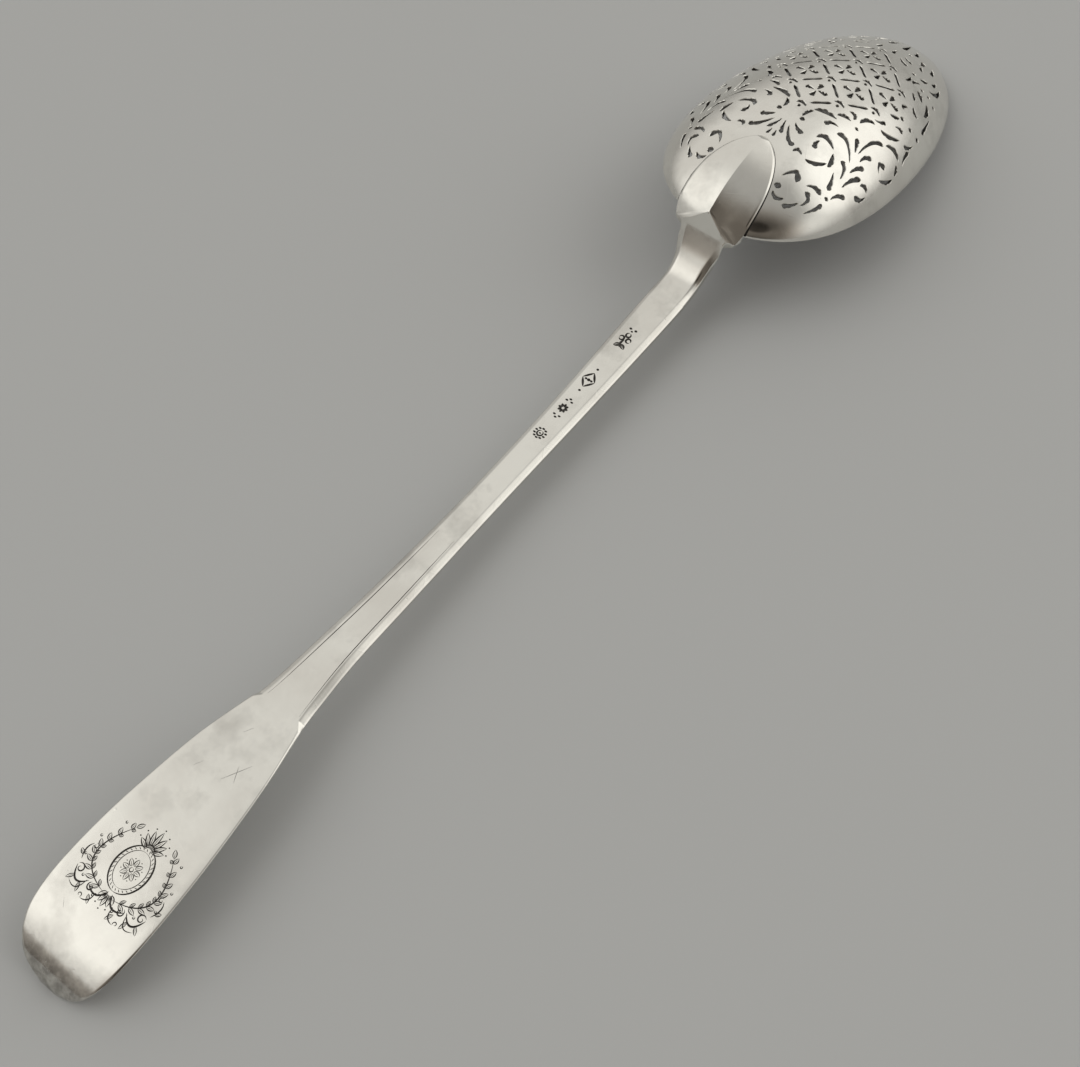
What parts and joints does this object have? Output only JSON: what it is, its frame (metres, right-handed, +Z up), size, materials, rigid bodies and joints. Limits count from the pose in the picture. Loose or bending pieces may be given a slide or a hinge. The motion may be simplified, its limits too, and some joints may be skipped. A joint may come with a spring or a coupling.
{
  "type": "pierced serving spoon",
  "caption": "Long silver olive spoon lying face down: saw-pierced egg-shaped bowl, lapped tongue joint, slender bevelled stem and broad rounded handle end.",
  "frame": {"origin": "centre of the footprint, at the table that the spoon lies on", "axes": "+X from the handle's end to the bowl's tip, +Y across the spoon, +Z up, with the bowl face down and its back up"},
  "size_m": [0.3212, 0.0562, 0.0325],
  "materials": {
    "bowl": "hand-burnished silver with a soft gloss and fine scratches",
    "handle": "hand-burnished silver with a soft gloss and fine scratches",
    "solder_seam": "dull grey hard solder"
  },
  "bodies": {
    "root": {"bowl": "bowl", "handle": "handle", "solder_seam": "solder_seam"}
  },
  "joints": []
}
